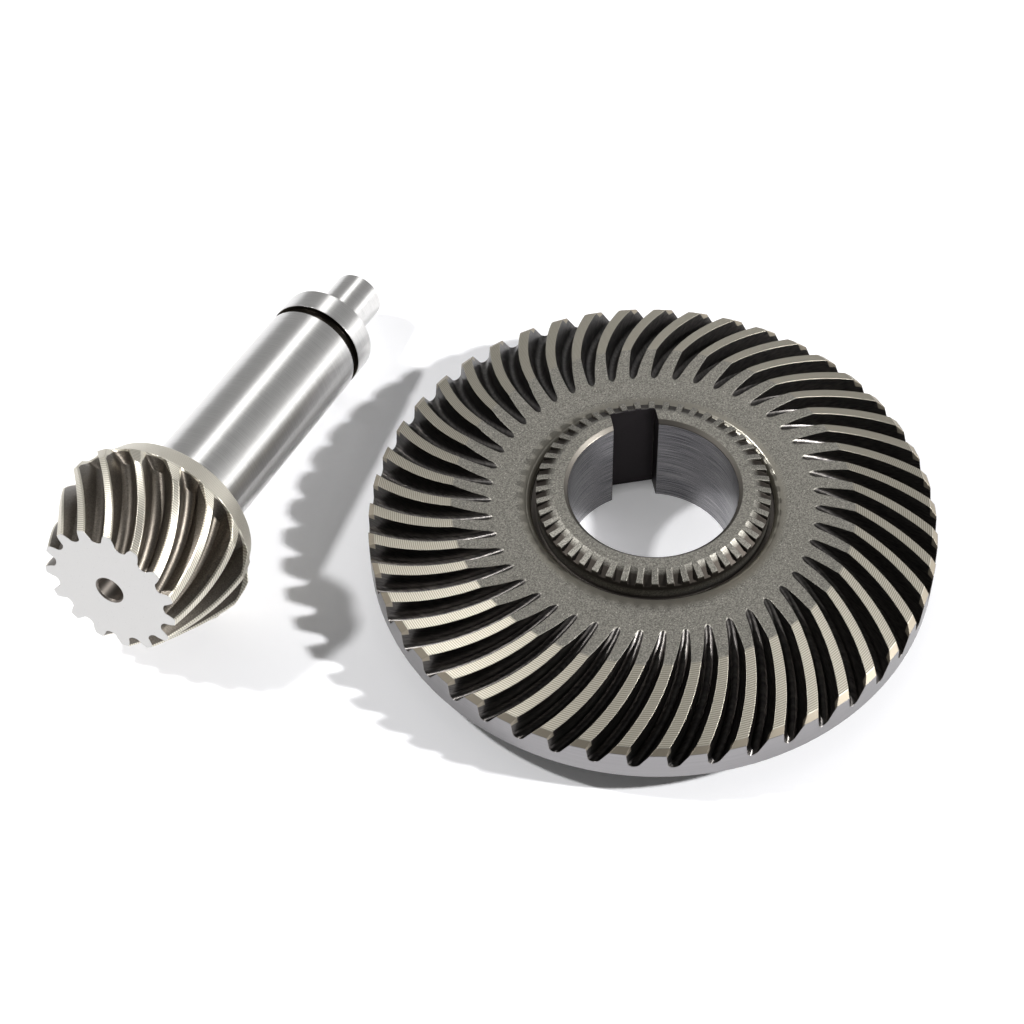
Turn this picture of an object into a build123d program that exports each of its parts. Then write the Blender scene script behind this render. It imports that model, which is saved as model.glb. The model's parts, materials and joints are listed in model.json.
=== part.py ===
"""Spiral bevel gear pair: a crown wheel with a keyed bore, and a pinion made in one piece with its shaft.

The two pieces are modelled as they lie on a bench. The crown wheel stands on its rear hub with the
toothed face up, and the pinion shaft lies beside it on the widest part of its head and on its collar.
Both tooth sets come from one description of the pair (same module, cone distance, depths and cutter
radius, opposite hands), so they run together at a 90 degree shaft angle once their pitch apexes meet.

Frame: millimetres, +Z up along the crown wheel's bore axis, origin on that axis at the end of the
rear hub, +Y through the middle of the keyway.
"""

import os
from math import acos, atan, atan2, cos, pi, radians, sin, sqrt, tan

from build123d import *

# --- the tooth pair ---------------------------------------------------------------------------
CROWN_TEETH = 47
PINION_TEETH = 15
MODULE = 1.56  # transverse, at the heel
FACE_WIDTH = 11.0
CROWN_TIP = (0.75, 0.46)  # heights above the pitch cone, at the heel and at the toe
CROWN_ROOT = (-2.05, -1.46)
PINION_TIP = (1.75, 1.03)
PINION_ROOT = (-1.0, -0.54)
PRESSURE_ANGLE = radians(17.5)  # normal to the tooth
MEAN_SPIRAL = radians(27)
CUTTER_RADIUS = 28.0
CROWN_THICKNESS = 0.45  # share of the pitch that the tooth fills on the pitch cone
PINION_THICKNESS = 0.53  # the 0.02 left over is backlash
ROOT_ROUND = 0.42  # height of the rounded root, at the heel
GAP_SECTIONS = 7  # cross sections that each tooth gap is drawn through
GAP_OVERRUN = 0.6  # how far each gap's outline runs on above the tooth tips

CROWN_GAP_RUN = (19.5, 40.5)  # cone distances that each cut starts and ends at
PINION_GAP_RUN = (25.2, 39.3)
PINION_RAMP_END = (41.4, 0.3)  # cone distance and floor height once the cutter has lifted out

CROWN_CONE = atan2(CROWN_TEETH, PINION_TEETH)  # pitch cone angles, in radians
PINION_CONE = pi / 2 - CROWN_CONE
HEEL = MODULE * CROWN_TEETH / 2 / sin(CROWN_CONE)  # cone distance of the heel
TOE = HEEL - FACE_WIDTH
MIDDLE = HEEL - FACE_WIDTH / 2

# --- the crown wheel --------------------------------------------------------------------------
BORE_RADIUS = 11.0
BORE_CHAMFER = 0.5
KEYWAY_WIDTH = 6.0
KEYWAY_REACH = 13.1  # bore axis to keyway floor
HUB_TOP = 15.0
HUB_RADIUS = 15.1
SERRATIONS = 48
SERRATION_INNER_RADIUS = 13.0
SERRATION_EDGE = 14.35  # height of the hub's outer top edge
SERRATION_DEPTH = 0.7  # below that edge
SERRATION_WIDTH = 1.0  # across the flat floor of each notch
SERRATION_SIDE = 8  # lean of the notch sides, in degrees
SERRATION_CUT = 1.6  # height of the cutter
GROOVE_OUTER_RADIUS = 15.75
GROOVE_FLOOR = 11.2
GROOVE_LIP = 0.8
WEB_HEIGHT = 12.42
RIM_RADIUS = 37.0
RIM_EDGE_BREAK = 0.3
RIM_BACK = 3.9
HEEL_BEVEL = 0.8
REAR_HUB_RADIUS = 14.8
REAR_HUB_CHAMFER = 0.5
CROWN_PITCH_HEIGHT = 8.57  # height of the pitch circle at the heel
CROWN_APEX = CROWN_PITCH_HEIGHT + HEEL * cos(CROWN_CONE)
CROWN_PHASE = 2.7  # degrees that the tooth ring is turned

# --- the pinion shaft, along its own axis from the front face -----------------------------------
APEX_TO_FACE = TOE * cos(PINION_CONE)
HEEL_CORNER = (13.25, 12.0)  # radius, distance from the front face
HEEL_BAND = (12.45, 12.8)
HEAD_BACK = (11.3, 15.7)
HEAD_BACK_ROUND = 0.35
SHANK_RADIUS = 6.86
SHANK_FILLET = 0.7
GROOVE_START = 52.2
GROOVE_END = 53.2
GROOVE_RADIUS = 6.2
GROOVE_LEAD = 0.5  # the bevel on the head side of the groove
COLLAR_END = 57.2
COLLAR_CHAMFER = 0.4
SPIGOT_RADIUS = 3.6
SHAFT_LENGTH = 66.5
SPIGOT_CHAMFER = 0.7
CENTRE_HOLE_RADIUS = 1.8
CENTRE_HOLE_DEPTH = 8.0
CENTRE_HOLE_CHAMFER = 0.2
PINION_PHASE = -11.5  # degrees that the teeth are turned about the shaft

# --- where the pinion shaft lies ----------------------------------------------------------------
PINION_FACE_X = -70.07
PINION_FACE_Y = -3.41
PINION_HEADING = 35.68  # degrees from +Y towards +X


def cone_rise(line, distance):
    """Height of a tip or root line above the pitch cone at a cone distance."""
    heel, toe = line
    return heel + (toe - heel) * (HEEL - distance) / FACE_WIDTH


def cutter_angle(distance):
    """Polar angle, about the apex, of the point of the round cutter's path at a cone distance."""
    centre = sqrt(MIDDLE**2 + CUTTER_RADIUS**2 - 2 * MIDDLE * CUTTER_RADIUS * sin(MEAN_SPIRAL))
    return acos((distance**2 + centre**2 - CUTTER_RADIUS**2) / (2 * distance * centre))


def spiral_angle(distance):
    """Angle between the tooth and the cone's straight line at a cone distance."""
    middle_term = MIDDLE * (2 * CUTTER_RADIUS * sin(MEAN_SPIRAL) - MIDDLE)
    sine = (distance + middle_term / distance) / (2 * CUTTER_RADIUS)
    return atan(sine / sqrt(1 - sine**2))


def gap_plane(cone, apex, opens, distance, phase=0.0):
    """The plane across a tooth gap: its x runs round the gear and its y points out of the gap.

    cone is the pitch cone angle, apex the height of its tip, and opens is 1 where the cone widens
    towards +Z and -1 where it widens towards -Z.
    """
    turn = (cutter_angle(distance) - cutter_angle(HEEL)) / sin(cone) + radians(phase)
    outward = Vector(cos(turn), sin(turn), 0)
    around = Vector(-sin(turn), cos(turn), 0)
    radius = distance * sin(cone)
    origin = outward * radius + Vector(0, 0, apex + opens * distance * cos(cone))
    along = outward * sin(cone) + Vector(0, 0, opens * cos(cone))
    return Plane(origin=origin, x_dir=around * -opens, z_dir=along)


def flank_point(cone, distance, gap_share, height):
    """Half width of a gap at a height above the pitch cone, from the involute of its back cone."""
    back_radius = distance * tan(cone)
    pitch = pi * MODULE * distance / HEEL
    pressure = atan(tan(PRESSURE_ANGLE) / cos(spiral_angle(distance)))
    radius = back_radius + height
    local = acos(min(back_radius * cos(pressure) / radius, 1))
    opening = (tan(local) - local) - (tan(pressure) - pressure)
    half_angle = gap_share * pitch / 2 / back_radius + opening
    return radius * sin(half_angle), radius * cos(half_angle) - back_radius


def gap_section(cone, distance, gap_share, bottom, top):
    """Outline of the gap between two teeth, from its rounded root to just above the tooth tips."""
    rounding = ROOT_ROUND * distance / HEEL
    start = bottom + rounding
    heights = [start + (top - start) * step / 3 for step in range(4)]
    right = [flank_point(cone, distance, gap_share, height) for height in heights]
    left = [(-x, y) for x, y in right]
    with BuildSketch() as section:
        with BuildLine():
            Spline(*right)
            Line(right[-1], left[-1])
            Spline(*reversed(left))
            ThreePointArc(left[0], (0, bottom), right[0])
        make_face()
    return section.sketch


def stations(run):
    """Evenly spaced cone distances from one end of a gap to the other."""
    start, end = run
    return [start + (end - start) * step / (GAP_SECTIONS - 1) for step in range(GAP_SECTIONS)]


def crown_gap():
    """The space between two crown teeth, running from the web out through the rim."""
    with BuildPart() as gap:
        for distance in stations(CROWN_GAP_RUN):
            bottom = cone_rise(CROWN_ROOT, distance)
            top = CROWN_TIP[0] + GAP_OVERRUN
            with BuildSketch(gap_plane(CROWN_CONE, CROWN_APEX, -1, distance, CROWN_PHASE)):
                add(gap_section(CROWN_CONE, distance, 1 - CROWN_THICKNESS, bottom, top))
        loft()
    return gap.part


def pinion_gap():
    """The space between two pinion teeth, with the ramp at the heel where the cutter lifts out."""
    root_end = PINION_GAP_RUN[1]
    ramp = ((root_end, cone_rise(PINION_ROOT, root_end)), PINION_RAMP_END)
    root = [(distance, cone_rise(PINION_ROOT, distance)) for distance in stations(PINION_GAP_RUN)]
    with BuildPart() as gap:
        for run, straight in ((root, False), (ramp, True)):
            for distance, bottom in run:
                top = cone_rise(PINION_TIP, distance) + GAP_OVERRUN
                with BuildSketch(gap_plane(PINION_CONE, -APEX_TO_FACE, 1, distance)):
                    add(gap_section(PINION_CONE, distance, 1 - PINION_THICKNESS, bottom, top))
            loft(ruled=straight)
    return gap.part


def tooth_tip(cone, opens, apex, line, distance):
    """Radius and height of the tooth tip on the blank at a cone distance."""
    rise = cone_rise(line, distance)
    radius = distance * sin(cone) + rise * cos(cone)
    height = apex + opens * distance * cos(cone) - opens * rise * sin(cone)
    return radius, height


def crown_profile():
    """Half section of the crown wheel's blank, in the XZ plane."""
    toe_r, toe_z = tooth_tip(CROWN_CONE, -1, CROWN_APEX, CROWN_TIP, TOE)
    heel_r, heel_z = tooth_tip(CROWN_CONE, -1, CROWN_APEX, CROWN_TIP, HEEL)
    slope = (toe_z - heel_z) / (heel_r - toe_r)
    web_end = heel_r - (WEB_HEIGHT - heel_z) / slope
    bevel_r = RIM_RADIUS - HEEL_BEVEL
    bevel_z = heel_z + (heel_r - bevel_r) * slope
    with BuildSketch() as profile:
        with BuildLine():
            Polyline(
                (BORE_RADIUS, 0),
                (BORE_RADIUS, HUB_TOP - BORE_CHAMFER),
                (BORE_RADIUS + BORE_CHAMFER, HUB_TOP),
                (SERRATION_INNER_RADIUS, HUB_TOP),
                (HUB_RADIUS, SERRATION_EDGE),
                (HUB_RADIUS, GROOVE_FLOOR),
                (GROOVE_OUTER_RADIUS, GROOVE_FLOOR),
                (GROOVE_OUTER_RADIUS, WEB_HEIGHT - GROOVE_LIP),
            )
            RadiusArc(
                (GROOVE_OUTER_RADIUS, WEB_HEIGHT - GROOVE_LIP),
                (GROOVE_OUTER_RADIUS + GROOVE_LIP, WEB_HEIGHT),
                GROOVE_LIP,
            )
            Polyline(
                (GROOVE_OUTER_RADIUS + GROOVE_LIP, WEB_HEIGHT),
                (web_end, WEB_HEIGHT),
                (bevel_r, bevel_z),
                (RIM_RADIUS, bevel_z - HEEL_BEVEL),
                (RIM_RADIUS, RIM_BACK + RIM_EDGE_BREAK),
                (RIM_RADIUS - RIM_EDGE_BREAK, RIM_BACK),
                (REAR_HUB_RADIUS, RIM_BACK),
                (REAR_HUB_RADIUS, REAR_HUB_CHAMFER),
                (REAR_HUB_RADIUS - REAR_HUB_CHAMFER, 0),
                (BORE_RADIUS, 0),
            )
        make_face()
    return profile.sketch


def serration():
    """A flat-bottomed notch that deepens from the inner edge of the serrated ring outwards."""
    run = HUB_RADIUS - SERRATION_INNER_RADIUS
    fall = HUB_TOP - SERRATION_EDGE + SERRATION_DEPTH
    along = Vector(run, 0, -fall).normalized()
    floor = SERRATION_WIDTH / 2
    top = floor + SERRATION_CUT * tan(radians(SERRATION_SIDE))
    with BuildPart() as notch:
        start = Vector(SERRATION_INNER_RADIUS, 0, HUB_TOP)
        with BuildSketch(Plane(origin=start, x_dir=(0, 1, 0), z_dir=along)):
            with BuildLine():
                Polyline((-floor, 0), (floor, 0), (top, SERRATION_CUT), (-top, SERRATION_CUT), close=True)
            make_face()
        extrude(amount=GROOVE_OUTER_RADIUS - SERRATION_INNER_RADIUS)
    return notch.part


def pinion_profile():
    """Half section of the pinion shaft, with x as the radius and y along the shaft."""
    toe_r, toe_s = tooth_tip(PINION_CONE, 1, -APEX_TO_FACE, PINION_TIP, TOE)
    heel_r, heel_s = tooth_tip(PINION_CONE, 1, -APEX_TO_FACE, PINION_TIP, HEEL)
    front_r = toe_r - toe_s * (heel_r - toe_r) / (heel_s - toe_s)
    back_r, back_s = HEAD_BACK
    with BuildSketch() as profile:
        with BuildLine():
            Polyline(
                (0, 0),
                (front_r, 0),
                (heel_r, heel_s),
                HEEL_CORNER,
                HEEL_BAND,
                HEAD_BACK,
                (back_r - HEAD_BACK_ROUND, back_s + HEAD_BACK_ROUND),
                (SHANK_RADIUS + SHANK_FILLET, back_s + HEAD_BACK_ROUND),
            )
            RadiusArc(
                (SHANK_RADIUS + SHANK_FILLET, back_s + HEAD_BACK_ROUND),
                (SHANK_RADIUS, back_s + HEAD_BACK_ROUND + SHANK_FILLET),
                SHANK_FILLET,
            )
            Polyline(
                (SHANK_RADIUS, back_s + HEAD_BACK_ROUND + SHANK_FILLET),
                (SHANK_RADIUS, GROOVE_START - GROOVE_LEAD),
                (GROOVE_RADIUS, GROOVE_START),
                (GROOVE_RADIUS, GROOVE_END),
                (SHANK_RADIUS, GROOVE_END),
                (SHANK_RADIUS, COLLAR_END - COLLAR_CHAMFER),
                (SHANK_RADIUS - COLLAR_CHAMFER, COLLAR_END),
                (SPIGOT_RADIUS, COLLAR_END),
                (SPIGOT_RADIUS, SHAFT_LENGTH - SPIGOT_CHAMFER),
                (SPIGOT_RADIUS - SPIGOT_CHAMFER, SHAFT_LENGTH),
                (0, SHAFT_LENGTH),
                (0, 0),
            )
        make_face()
    return profile.sketch


def lying_pinion():
    """Where the pinion shaft lies: its front face's place, and its axis sloping down to the tail."""
    rest_r, rest_s = HEEL_CORNER
    collar_s = COLLAR_END - COLLAR_CHAMFER
    slope = atan((rest_r - SHANK_RADIUS) / (collar_s - rest_s))
    heading = radians(PINION_HEADING)
    height = rest_s * sin(slope) + rest_r * cos(slope)
    along = Vector(sin(heading) * cos(slope), cos(heading) * cos(slope), -sin(slope))
    level = Vector(cos(heading), -sin(heading), 0)
    turned = level * cos(radians(PINION_PHASE)) + along.cross(level) * sin(radians(PINION_PHASE))
    return Plane(origin=(PINION_FACE_X, PINION_FACE_Y, height), x_dir=turned, z_dir=along)


def main():
    os.makedirs("parts", exist_ok=True)

    with BuildPart() as crown_wheel:
        with BuildSketch(Plane.XZ):
            add(crown_profile())
        revolve(axis=Axis.Z)
        with BuildSketch():
            with Locations((0, KEYWAY_REACH / 2)):
                Rectangle(KEYWAY_WIDTH, KEYWAY_REACH)
        extrude(amount=HUB_TOP, mode=Mode.SUBTRACT)
        with PolarLocations(0, SERRATIONS):
            add(serration(), mode=Mode.SUBTRACT)
        with PolarLocations(0, CROWN_TEETH):
            add(crown_gap(), mode=Mode.SUBTRACT)
    crown_wheel.part.label = "crown_wheel"
    export_step(crown_wheel.part, "parts/crown_wheel.step")

    with BuildPart() as pinion:
        with BuildSketch(Plane.XZ):
            add(pinion_profile())
        revolve(axis=Axis.Z)
        with Locations(Plane(origin=(0, 0, 0), z_dir=(0, 0, -1))):
            CounterSinkHole(
                CENTRE_HOLE_RADIUS, CENTRE_HOLE_RADIUS + CENTRE_HOLE_CHAMFER, depth=CENTRE_HOLE_DEPTH
            )
        with PolarLocations(0, PINION_TEETH):
            add(pinion_gap(), mode=Mode.SUBTRACT)

    with BuildPart() as pinion_shaft:
        with Locations(lying_pinion().location):
            add(pinion.part)
    pinion_shaft.part.label = "pinion_shaft"
    export_step(pinion_shaft.part, "parts/pinion_shaft.step")


main()
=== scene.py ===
import json
import math
import bpy
from mathutils import Matrix, Vector


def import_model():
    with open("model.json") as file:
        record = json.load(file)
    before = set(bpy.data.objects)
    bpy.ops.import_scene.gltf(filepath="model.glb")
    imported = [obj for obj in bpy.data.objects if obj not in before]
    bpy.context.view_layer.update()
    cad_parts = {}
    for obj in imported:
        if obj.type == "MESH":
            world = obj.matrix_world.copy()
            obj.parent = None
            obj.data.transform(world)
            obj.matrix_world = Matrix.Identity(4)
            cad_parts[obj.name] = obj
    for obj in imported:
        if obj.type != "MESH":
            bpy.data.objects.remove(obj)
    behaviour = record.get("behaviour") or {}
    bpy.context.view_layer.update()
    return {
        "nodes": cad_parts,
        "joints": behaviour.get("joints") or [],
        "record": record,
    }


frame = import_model()

# Lengths are in millimetres, as on a drawing, and MM turns them into scene units.
MM = 0.001

# the camera, which looks at a point between the two gears
AIM = Vector((-17.56, 5.59, 7.0))
VIEW_AZIMUTH = -9.0
VIEW_ELEVATION = 51.55
VIEW_ROLL = -1.4
VIEW_DISTANCE = 327.3
LENS = 87.46

# the lamps: azimuth, elevation, distance, width, height and watts
RIGHT_KEY = (67, 36, 900, 50, 50, 11.3)
LEFT_KEY = (-106, 53, 900, 60, 60, 5.0)
BACK_STRIP = (160, 44, 600, 130, 320, 0.34)
SIDE_STRIP = (98, 8, 600, 320, 110, 0.30)

# the floor's own glow, in the open and inside the wheel's bore, and the radii between which it changes
OPEN_GLOW = 0.04
BORE_GLOW = 0.26
GLOW_EDGE = (14.0, 11.5)
FLOOR_SIZE = 4.0  # in metres

# the studio's brightness: direction on an axis from and to, brightness from and to
SKY_BEHIND = ("Y", -0.3, 0.6, 0.04, 0.34)
SKY_LEFT = ("X", -0.2, -0.9, 0.0, 0.30)

# how far the shading rounds every sharp edge, the pitch of the tool marks, and the depths of the bumps
EDGE_ROUND = 0.14
EDGE_SAMPLES = 4
MARK_PITCH = 0.26
CROWN_BUMP = 0.015
PINION_BUMP = 0.010
BUMP_STRENGTH = 0.5

# the crown wheel's blank, from its drawing
CROWN_WEB = 12.42
CROWN_BREAK = 26.09  # radius where the flat web ends and the tooth tips begin
CROWN_FACE_SLOPE = 0.2903
CROWN_RIM = 37.0
CROWN_BORE = 11.0
HUB_TOP = 15.0
SERRATION_START = 13.0
SERRATION_SLOPE = 0.31

# Each pair is a ramp: the finish is absent at the first number and complete at the second.
TOOTHED_RADIUS = (19.0, 19.2)
RIM_RADIUS = (CROWN_RIM - 0.06, CROWN_RIM - 0.02)
BEVEL_RADIUS = (36.15, 36.25)
BEVEL_DEPTH = (1.0, 0.9)
FLANK_DEPTH = (0.05, 0.09)
LAND_DEPTH = (0.09, 0.05)
LAND_RADIUS = (CROWN_BREAK - 0.1, CROWN_BREAK + 0.1)
BORE_RADIUS = (CROWN_BORE + 0.08, CROWN_BORE + 0.03)
KEYWAY_SIDE = (3.06, 3.02)
KEYWAY_START = (10.2, 10.5)
KEYWAY_END = (13.6, 13.4)
GROOVE_START = (14.9, 15.0)
GROOVE_END = (15.9, 15.8)
GROOVE_HEIGHT = (12.0, 11.6)
LIP_START = (15.70, 15.80)
LIP_END = (17.6, 16.7)
LIP_HEIGHT = (11.5, 11.8)
ROLL_RADIUS = (18.6, 16.4)
ROLL_HEIGHT = 60.0  # times the crown wheel's bump depth
CHAMFER_RADIUS = (11.55, 11.5)
CHAMFER_HEIGHT = (14.4, 14.5)
NOTCH_START = (12.9, 13.1)
NOTCH_END = (15.3, 15.2)
NOTCH_DEPTH = (0.04, 0.30)
NOTCH_HEIGHT = (12.4, 13.2)

# radius and distance from the front face of the points along the pinion head's outline
PINION_OUTLINE = ((9.46, 0.0), (13.365, 9.95), (13.25, 12.0), (12.45, 12.8), (11.3, 15.7))
HEAD_END = (16.2, 16.0)
FRONT_FACE = (0.03, 0.01)
GAP_START = (0.01, 0.03)
GAP_END = (15.2, 15.0)
GAP_DEPTH = (0.20, 0.30)
LEAD_START = (51.65, 51.7)
LEAD_END = (52.25, 52.2)
LEAD_RADIUS = (6.84, 6.8)
RING_START = (52.15, 52.2)
RING_END = (53.25, 53.2)
RING_RADIUS = (6.82, 6.78)
HOLE_RADIUS = (2.05, 2.0)
HOLE_END = (20.0, 19.0)


def colour(red, green, blue):
    """A linear colour from screen values that run from 0 to 255, all above 10."""
    return tuple(((c / 255 + 0.055) / 1.055) ** 2.4 for c in (red, green, blue)) + (1,)


class Shader:
    """One node material, with short calls for the nodes that its masks and textures need."""

    def __init__(self, name):
        self.material = bpy.data.materials.new(name)
        self.material.use_nodes = True
        self.nodes = self.material.node_tree.nodes
        self.links = self.material.node_tree.links
        self.bsdf = next(n for n in self.nodes if n.type == "BSDF_PRINCIPLED")
        self.place = self.nodes.new("ShaderNodeTexCoord").outputs["Object"]

    def put(self, socket, value):
        if isinstance(value, bpy.types.NodeSocket):
            self.links.new(value, socket)
        else:
            socket.default_value = value

    def math(self, operation, *values):
        node = self.nodes.new("ShaderNodeMath")
        node.operation = operation
        for socket, value in zip(node.inputs, values):
            self.put(socket, value)
        return node.outputs[0]

    def vector(self, operation, *values, out="Vector"):
        node = self.nodes.new("ShaderNodeVectorMath")
        node.operation = operation
        for socket, value in zip([s for s in node.inputs if s.type == "VECTOR"], values):
            self.put(socket, value)
        return node.outputs[out]

    def scaled(self, vector, factor):
        node = self.nodes.new("ShaderNodeVectorMath")
        node.operation = "SCALE"
        self.put(node.inputs["Vector"], vector)
        self.put(node.inputs["Scale"], factor)
        return node.outputs["Vector"]

    def split(self, vector):
        node = self.nodes.new("ShaderNodeSeparateXYZ")
        self.put(node.inputs[0], vector)
        return node.outputs["X"], node.outputs["Y"], node.outputs["Z"]

    def join(self, x, y, z):
        node = self.nodes.new("ShaderNodeCombineXYZ")
        for socket, value in zip(node.inputs, (x, y, z)):
            self.put(socket, value)
        return node.outputs[0]

    def step(self, value, start, end):
        """0 below start and 1 above end, with a straight ramp between."""
        node = self.nodes.new("ShaderNodeMapRange")
        node.clamp = True
        for name, number in (("Value", value), ("From Min", start), ("From Max", end)):
            self.put(node.inputs[name], number)
        return node.outputs["Result"]

    def both(self, *masks):
        found = masks[0]
        for mask in masks[1:]:
            found = self.math("MULTIPLY", found, mask)
        return found

    def without(self, mask):
        return self.math("SUBTRACT", 1.0, mask)

    def stretched(self, *pairs):
        """A texture coordinate from up to three values, each times its own factor."""
        scaled = [self.math("MULTIPLY", value, factor) for value, factor in pairs]
        return self.join(*(scaled + [0.0] * (3 - len(scaled))))

    def noise(self, vector, scale, detail=3.0, roughness=0.55):
        node = self.nodes.new("ShaderNodeTexNoise")
        self.put(node.inputs["Vector"], vector)
        self.put(node.inputs["Scale"], scale)
        self.put(node.inputs["Detail"], detail)
        self.put(node.inputs["Roughness"], roughness)
        return node.outputs[0]

    def cells(self, vector, scale):
        node = self.nodes.new("ShaderNodeTexVoronoi")
        self.put(node.inputs["Vector"], vector)
        self.put(node.inputs["Scale"], scale)
        return node.outputs["Distance"]

    def mix(self, factor, first, second):
        node = self.nodes.new("ShaderNodeMix")
        node.data_type = "RGBA"
        self.put(node.inputs[0], factor)
        self.put(node.inputs[6], first)
        self.put(node.inputs[7], second)
        return node.outputs[2]

    def blend(self, factor, first, second):
        """A number part way from first to second."""
        node = self.nodes.new("ShaderNodeMix")
        node.data_type = "FLOAT"
        self.put(node.inputs[0], factor)
        self.put(node.inputs[2], first)
        self.put(node.inputs[3], second)
        return node.outputs[0]

    def turning(self, across, pitch):
        """Fine parallel tool marks along one surface coordinate in millimetres, from 0 to 1."""
        wave = self.math("SINE", self.math("MULTIPLY", across, 2 * math.pi / pitch))
        return self.step(wave, -0.8, 0.8)

    def bump(self, height, distance, strength=1.0):
        node = self.nodes.new("ShaderNodeBump")
        self.put(node.inputs["Height"], height)
        self.put(node.inputs["Distance"], distance)
        self.put(node.inputs["Strength"], strength)
        soft = self.nodes.new("ShaderNodeBevel")
        soft.samples = EDGE_SAMPLES
        soft.inputs["Radius"].default_value = EDGE_ROUND * MM
        self.links.new(soft.outputs[0], node.inputs["Normal"])
        self.links.new(node.outputs[0], self.bsdf.inputs["Normal"])

    def finish(self, base, roughness, metallic=1.0):
        self.put(self.bsdf.inputs["Base Color"], base)
        self.put(self.bsdf.inputs["Roughness"], roughness)
        self.put(self.bsdf.inputs["Metallic"], metallic)
        return self.material


def crown_steel():
    """Shot-blasted web with painted glints; flanks, groove, serration gaps and keyway painted dark as
    painted shade; bare lands with tool marks, a smooth rim and a scratched bore with painted shade.
    """
    s = Shader("crown_steel")
    place = s.scaled(s.place, 1 / MM)
    x, y, z = s.split(place)
    radius = s.math("SQRT", s.math("ADD", s.math("MULTIPLY", x, x), s.math("MULTIPLY", y, y)))
    angle = s.math("ARCTAN2", y, x)
    past_break = s.math("SUBTRACT", radius, CROWN_BREAK)
    face = s.math("SUBTRACT", CROWN_WEB, s.math("MULTIPLY", past_break, CROWN_FACE_SLOPE))
    face = s.math("MINIMUM", face, CROWN_WEB)
    depth = s.math("SUBTRACT", face, z)

    toothed = s.step(radius, *TOOTHED_RADIUS)
    rim = s.step(radius, *RIM_RADIUS)
    bevel = s.both(s.step(radius, *BEVEL_RADIUS), s.without(rim))
    bevel_face = s.both(bevel, s.step(depth, *BEVEL_DEPTH))
    flank = s.both(toothed, s.without(rim), s.step(depth, *FLANK_DEPTH), s.without(bevel_face))
    land = s.both(s.step(radius, *LAND_RADIUS), s.without(rim), s.step(depth, *LAND_DEPTH))
    bore = s.step(radius, *BORE_RADIUS)
    shaded_keyway = s.both(
        s.step(s.math("ABSOLUTE", x), *KEYWAY_SIDE),
        s.step(y, *KEYWAY_START),
        s.step(radius, *KEYWAY_END),
    )
    shaded_groove = s.both(s.step(radius, *GROOVE_START), s.step(radius, *GROOVE_END), s.step(z, *GROOVE_HEIGHT))
    lip = s.both(s.step(radius, *LIP_START), s.step(radius, *LIP_END), s.step(z, *LIP_HEIGHT))
    chamfer = s.both(s.step(radius, *CHAMFER_RADIUS), s.step(z, *CHAMFER_HEIGHT))
    past_ring = s.math("SUBTRACT", radius, SERRATION_START)
    hub_face = s.math("SUBTRACT", HUB_TOP, s.math("MULTIPLY", past_ring, SERRATION_SLOPE))
    sunk = s.math("SUBTRACT", hub_face, z)
    shaded_notch = s.both(s.step(radius, *NOTCH_START), s.step(radius, *NOTCH_END), s.step(sunk, *NOTCH_DEPTH))

    grain = s.noise(place, 5.5, 4.0)
    specks = s.cells(place, 3.4)
    blast = s.mix(s.step(grain, 0.36, 0.64), colour(104, 102, 96), colour(152, 149, 141))
    # The near-white specks mixed into the shot-blasted web are painted glints.
    painted_glints = s.both(s.step(specks, 0.18, 0.06), s.step(grain, 0.48, 0.6))
    blast = s.mix(painted_glints, blast, colour(245, 240, 230))
    marks = s.turning(radius, MARK_PITCH)
    bare = s.mix(marks, colour(138, 133, 121), colour(182, 177, 164))
    turned = s.noise(s.stretched((angle, 1.5), (z, 6.0), (radius, 6.0)), 1.5, 3.0)
    smooth = s.mix(turned, colour(128, 126, 127), colour(150, 148, 149))
    # The bore's lighter lines are scratches; between them the bore is painted dark bluish grey as painted
    # shade.
    scratches = s.noise(s.stretched((angle, 0.9), (z, 9.0)), 1.6, 5.0, 0.7)
    bore_scratches_and_shade = s.mix(s.step(scratches, 0.40, 0.66), colour(72, 72, 80), colour(184, 182, 182))
    # The flanks are painted darker than the web as painted shade in the tooth slots; the strokes along
    # them are tool marks.
    strokes = s.noise(s.stretched((angle, 14.0), (radius, 0.5), (z, 3.0)), 1.8, 3.0)
    dark = s.mix(s.step(strokes, 0.3, 0.7), colour(60, 58, 58), colour(90, 87, 84))

    base = s.mix(land, blast, bare)
    base = s.mix(flank, base, dark)
    base = s.mix(rim, base, smooth)
    base = s.mix(s.both(bevel, s.without(flank), s.without(land)), base, colour(150, 142, 128))
    base = s.mix(bore, base, bore_scratches_and_shade)
    # The groove round the hub is painted dark as painted shade.
    base = s.mix(shaded_groove, base, colour(84, 80, 76))
    base = s.mix(lip, base, colour(140, 136, 126))
    base = s.mix(chamfer, base, colour(104, 100, 94))
    # The gaps between the serrations are painted near black as painted shade.
    base = s.mix(s.both(shaded_notch, s.step(z, *NOTCH_HEIGHT)), base, colour(58, 54, 50))
    # The keyway is painted near black as painted shade.
    base = s.mix(shaded_keyway, base, colour(54, 50, 52))

    rough = s.blend(land, 0.50, 0.46)
    rough = s.blend(flank, rough, 0.32)
    rough = s.blend(rim, rough, 0.36)
    rough = s.blend(bore, rough, 0.28)
    rough = s.blend(lip, rough, 0.34)
    height = s.blend(s.step(s.math("ADD", land, bore), 0.2, 0.8), grain, s.blend(bore, marks, scratches))
    height = s.blend(flank, height, strokes)
    # The CAD lip is 0.8 mm round. This draws a wider roll into the shading only, out over the flat web.
    roll = s.math("POWER", s.step(radius, *ROLL_RADIUS), 2.0)
    roll = s.both(roll, s.step(z, *LIP_HEIGHT), s.step(radius, *LIP_START), ROLL_HEIGHT)
    height = s.math("SUBTRACT", height, roll)
    s.bump(height, CROWN_BUMP * MM, BUMP_STRENGTH)
    return s.finish(base, rough, s.blend(lip, 1.0, 0.80))


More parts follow.
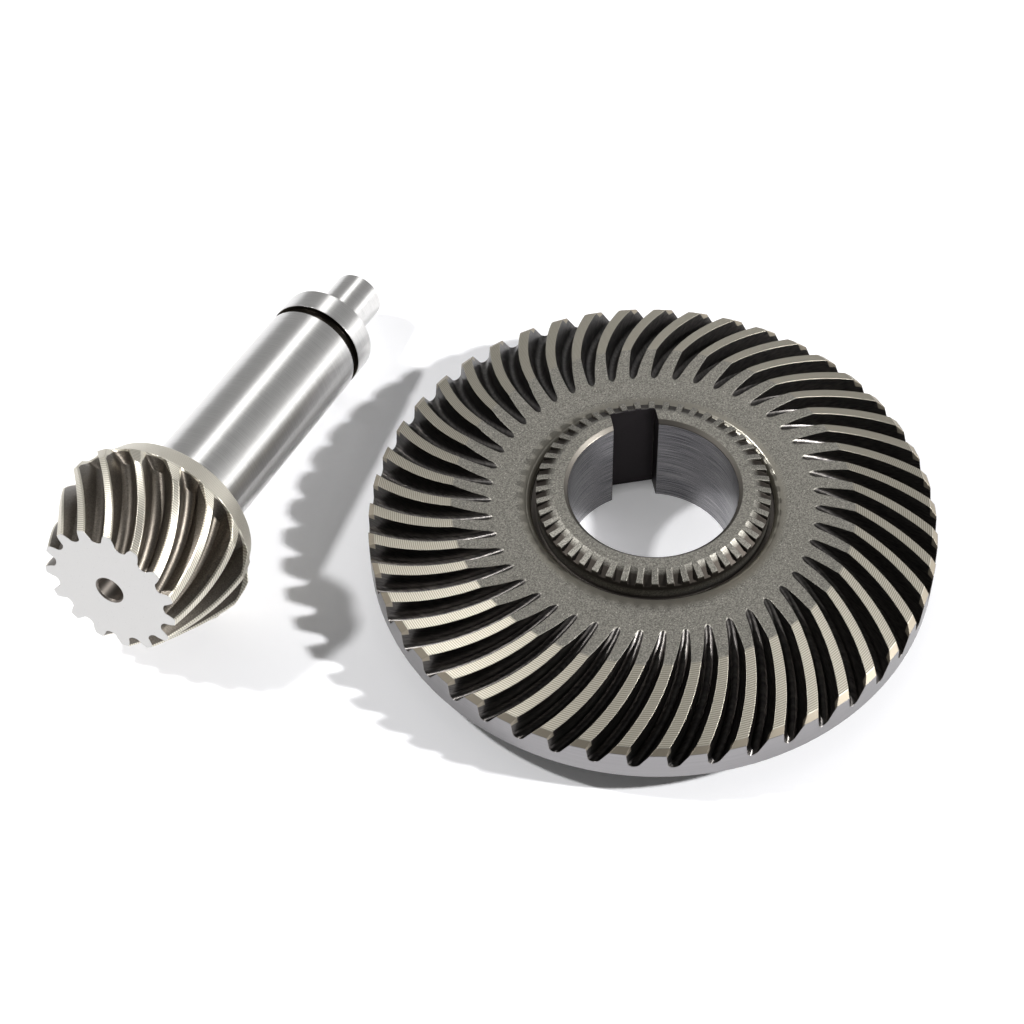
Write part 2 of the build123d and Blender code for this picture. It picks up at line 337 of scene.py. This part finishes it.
def pinion_steel(front, along):
    """Ground shank, bare lands and heel with tool marks, gaps, ring groove and centre hole painted dark
    as painted shade, and a speckled front face.
    """
    s = Shader("pinion_steel")
    place = s.scaled(s.vector("SUBTRACT", s.place, tuple(front)), 1 / MM)
    run = s.vector("DOT_PRODUCT", place, tuple(along), out="Value")
    out = s.vector("SUBTRACT", place, s.scaled(tuple(along), run))
    radius = s.vector("LENGTH", out, out="Value")
    side = along.cross(Vector((0, 0, 1))).normalized()
    top = side.cross(along)
    angle = s.math(
        "ARCTAN2",
        s.vector("DOT_PRODUCT", out, tuple(top), out="Value"),
        s.vector("DOT_PRODUCT", out, tuple(side), out="Value"),
    )

    edge = None
    for (r0, s0), (r1, s1) in zip(PINION_OUTLINE, PINION_OUTLINE[1:]):
        slope = (r1 - r0) / (s1 - s0)
        line = s.math("ADD", s.math("MULTIPLY", s.math("SUBTRACT", run, s0), slope), r0)
        edge = line if edge is None else s.math("MINIMUM", edge, line)
    depth = s.math("SUBTRACT", edge, radius)
    head = s.step(run, *HEAD_END)
    front_face = s.step(run, *FRONT_FACE)
    shaded_gap = s.both(head, s.step(run, *GAP_START), s.step(depth, *GAP_DEPTH), s.step(run, *GAP_END))
    lead = s.both(s.step(run, *LEAD_START), s.step(run, *LEAD_END), s.step(radius, *LEAD_RADIUS))
    shaded_groove = s.both(s.step(run, *RING_START), s.step(run, *RING_END), s.step(radius, *RING_RADIUS))
    shaded_hole = s.both(s.step(radius, *HOLE_RADIUS), s.step(run, *HOLE_END))

    grain = s.noise(place, 5.5, 4.0)
    fine = s.noise(place, 16.0, 2.0)
    specks = s.cells(place, 2.0)
    marks = s.turning(run, MARK_PITCH)
    bare = s.mix(marks, colour(182, 177, 164), colour(228, 223, 210))
    # The tooth gaps are painted dark brown as painted shade.
    dark = s.mix(s.step(grain, 0.3, 0.7), colour(82, 77, 71), colour(112, 106, 98))
    flat = s.mix(fine, colour(196, 195, 193), colour(205, 204, 202))
    flat = s.mix(s.step(specks, 0.10, 0.04), flat, colour(160, 157, 154))
    ground = s.noise(s.stretched((angle, 0.8), (run, 8.0)), 1.6, 4.0, 0.65)
    shank = s.mix(s.step(ground, 0.3, 0.7), colour(196, 195, 193), colour(224, 223, 221))

    base = s.mix(head, shank, bare)
    base = s.mix(shaded_gap, base, dark)
    base = s.mix(front_face, base, flat)
    base = s.mix(lead, base, colour(104, 98, 78))
    # The ring groove is painted dark as painted shade.
    base = s.mix(shaded_groove, base, colour(60, 56, 50))
    # The centre hole is painted darker than the front face as painted shade.
    base = s.mix(shaded_hole, base, colour(120, 114, 108))
    rough = s.blend(head, 0.28, 0.42)
    rough = s.blend(front_face, rough, 0.42)
    height = s.blend(head, ground, s.blend(front_face, marks, fine))
    s.bump(height, PINION_BUMP * MM, BUMP_STRENGTH)
    return s.finish(base, rough)


joint = frame["joints"][0]
pinion_axis = Vector(joint["axis"]).normalized()
mount = next(m for m in frame["record"]["mounts"] if m["name"] == "pinion_front")
pinion_front = Vector(mount["pos_m"])

finishes = {"crown_wheel": crown_steel(), "pinion_shaft": pinion_steel(pinion_front, pinion_axis)}
for name, material in finishes.items():
    node = frame["nodes"][name]
    node.data.materials.clear()
    node.data.materials.append(material)


def white_floor():
    """A white sheet that glows a little, and more inside the bore, where the real floor looks lighter."""
    bpy.ops.mesh.primitive_plane_add(size=FLOOR_SIZE, location=(0, 0, 0))
    floor = bpy.context.object
    floor.name = "floor"
    s = Shader("white_floor")
    from_bore = s.vector("LENGTH", s.scaled(s.place, 1 / MM), out="Value")
    s.finish(colour(243, 243, 245), 0.6, 0.0)
    s.bsdf.inputs["Emission Color"].default_value = (1, 1, 1, 1)
    glow = s.blend(s.step(from_bore, *GLOW_EDGE), OPEN_GLOW, BORE_GLOW)
    s.put(s.bsdf.inputs["Emission Strength"], glow)
    floor.data.materials.append(s.material)


def softbox(name, azimuth, elevation, distance, width, height, watts):
    """An area light that faces the gears from a direction in degrees. It returns the light's object."""
    light = bpy.data.lights.new(name, "AREA")
    light.shape = "RECTANGLE"
    light.size, light.size_y = width * MM, height * MM
    light.energy = watts
    lamp = bpy.data.objects.new(name, light)
    bpy.context.scene.collection.objects.link(lamp)
    a, e = math.radians(azimuth), math.radians(elevation)
    back = Vector((math.sin(a) * math.cos(e), -math.cos(a) * math.cos(e), math.sin(e)))
    lamp.location = (AIM + back * distance) * MM
    lamp.rotation_mode = "QUATERNION"
    lamp.rotation_quaternion = back.to_track_quat("Z", "Y")
    return lamp


def camera():
    data = bpy.data.cameras.new("camera")
    data.lens = LENS
    data.sensor_width = 36.0
    data.clip_start, data.clip_end = 0.01, 10.0
    eye = bpy.data.objects.new("camera", data)
    bpy.context.scene.collection.objects.link(eye)
    a, e = math.radians(VIEW_AZIMUTH), math.radians(VIEW_ELEVATION)
    back = Vector((math.sin(a) * math.cos(e), -math.cos(a) * math.cos(e), math.sin(e)))
    right = Vector((math.cos(a), math.sin(a), 0))
    turn = Matrix((right, back.cross(right), back)).transposed().to_quaternion()
    roll = Vector((0, 0, 1))
    eye.rotation_mode = "QUATERNION"
    eye.rotation_quaternion = turn @ Matrix.Rotation(math.radians(VIEW_ROLL), 3, roll).to_quaternion()
    eye.location = (AIM + back * VIEW_DISTANCE) * MM
    bpy.context.scene.camera = eye


def world():
    """A studio that is dark on the camera's side and brighter behind and on the left."""
    sky = bpy.data.worlds.new("studio")
    sky.use_nodes = True
    nodes, links = sky.node_tree.nodes, sky.node_tree.links
    place = nodes.new("ShaderNodeTexCoord").outputs["Generated"]
    parts = nodes.new("ShaderNodeSeparateXYZ")
    links.new(place, parts.inputs[0])
    levels = []
    for socket, start, end, low, high in (SKY_BEHIND, SKY_LEFT):
        ramp = nodes.new("ShaderNodeMapRange")
        for name, number in (("From Min", start), ("From Max", end), ("To Min", low), ("To Max", high)):
            ramp.inputs[name].default_value = number
        links.new(parts.outputs[socket], ramp.inputs["Value"])
        levels.append(ramp.outputs["Result"])
    total = nodes.new("ShaderNodeMath")
    links.new(levels[0], total.inputs[0])
    links.new(levels[1], total.inputs[1])
    links.new(total.outputs[0], nodes["Background"].inputs["Strength"])
    nodes["Background"].inputs["Color"].default_value = (1, 1, 1, 1)
    bpy.context.scene.world = sky


white_floor()
world()
camera()
right = softbox("right", *RIGHT_KEY)
softbox("left", *LEFT_KEY)
back_strip = softbox("back strip", *BACK_STRIP)
side_strip = softbox("side strip", *SIDE_STRIP)

# Only the crown wheel blocks the right lamp, so the pinion throws no shadow from it.
# The strips light only the metal.
crown_only = bpy.data.collections.new("crown only")
crown_only.objects.link(frame["nodes"]["crown_wheel"])
right.light_linking.blocker_collection = crown_only
metal = bpy.data.collections.new("metal")
for node in frame["nodes"].values():
    metal.objects.link(node)
for strip in (back_strip, side_strip):
    strip.light_linking.receiver_collection = metal
bpy.context.scene.view_settings.view_transform = "Standard"
